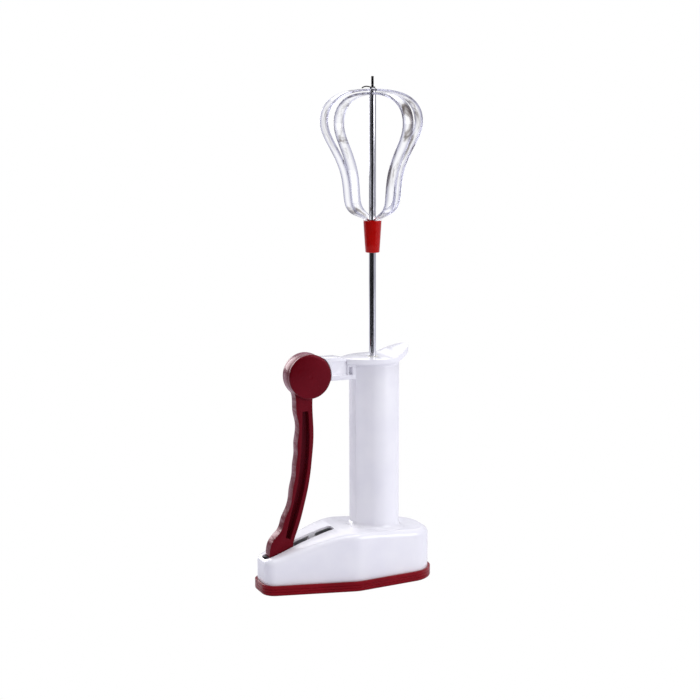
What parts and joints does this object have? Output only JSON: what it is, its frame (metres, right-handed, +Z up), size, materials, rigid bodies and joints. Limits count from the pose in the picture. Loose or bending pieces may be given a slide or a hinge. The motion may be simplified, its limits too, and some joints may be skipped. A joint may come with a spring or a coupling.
{
  "type": "hand whisk",
  "caption": "Push-lever kitchen whisk: squeezing a curved lever beside an upright grip spins a clear looped beater on a tall steel spindle through a rack and gears in its base",
  "frame": {"origin": "centre of the spindle, on the underside of the base", "axes": "+Z up along the spindle; the lever and the nose of the base point to -X, the thumb tab to +X"},
  "size_m": [0.1237, 0.0802, 0.34],
  "materials": {
    "white_plastic": "gloss moulded",
    "crimson_plastic": "satin moulded",
    "maroon_plastic": "satin moulded",
    "red_plastic": "gloss moulded",
    "clear_plastic": "clear moulded",
    "acetal": "natural moulded",
    "polished_steel": "polished",
    "zinc_steel": "zinc plated",
    "dark_steel": "blackened",
    "spring_steel": "drawn wire"
  },
  "bodies": {
    "frame": {"base_plate": "crimson_plastic", "base_housing": "white_plastic", "base_screws": "zinc_steel", "handle": "white_plastic", "top_guard": "white_plastic", "upper_bush": "acetal", "gear_bridge": "zinc_steel", "bridge_screws": "zinc_steel", "first_gear_shaft": "zinc_steel", "second_gear_shaft": "zinc_steel", "thrust_washer": "zinc_steel", "return_spring": "spring_steel"},
    "lever": {"lever": "maroon_plastic", "lever_front_cap": "maroon_plastic", "lever_rear_cap": "maroon_plastic", "pivot_pin": "zinc_steel", "rack_sector": "acetal", "rack_rivets": "zinc_steel"},
    "first_gear": {"first_gear": "acetal"},
    "second_gear": {"second_gear": "acetal"},
    "whisk": {"spindle": "polished_steel", "spindle_pinion": "acetal", "spindle_clip": "zinc_steel", "whisk_collar": "red_plastic", "outer_loop": "clear_plastic", "inner_loop": "clear_plastic", "loop_clip": "dark_steel"}
  },
  "joints": [
    {"name": "lever_swing", "type": "hinge", "parent": "frame", "child": "lever", "pos_m": [-0.0477, 0, 0.1444], "axis": [0, -1, 0], "range_deg": [0, 12.5], "stiffness_Nm_per_rad": 1, "springref_deg": -17.19, "deforming": ["return_spring"]},
    {"name": "first_gear_turn", "type": "hinge", "parent": "frame", "child": "first_gear", "pos_m": [-0.043, 0.007, 0], "axis": [0, 0, 1], "range_deg": [-2, 321.8]},
    {"name": "second_gear_turn", "type": "hinge", "parent": "frame", "child": "second_gear", "pos_m": [-0.02156, 0.00438, 0], "axis": [0, 0, 1], "range_deg": [-258, 2]},
    {"name": "spindle_turn", "type": "hinge", "parent": "frame", "child": "whisk", "pos_m": [0, 0, 0], "axis": [0, 0, 1], "range_deg": [-5, 918.7]}
  ],
  "couplings": [
    {"joint": "first_gear_turn", "follows": "lever_swing", "ratio": 25.5},
    {"joint": "second_gear_turn", "follows": "lever_swing", "ratio": -20.4},
    {"joint": "spindle_turn", "follows": "lever_swing", "ratio": 73.1}
  ]
}
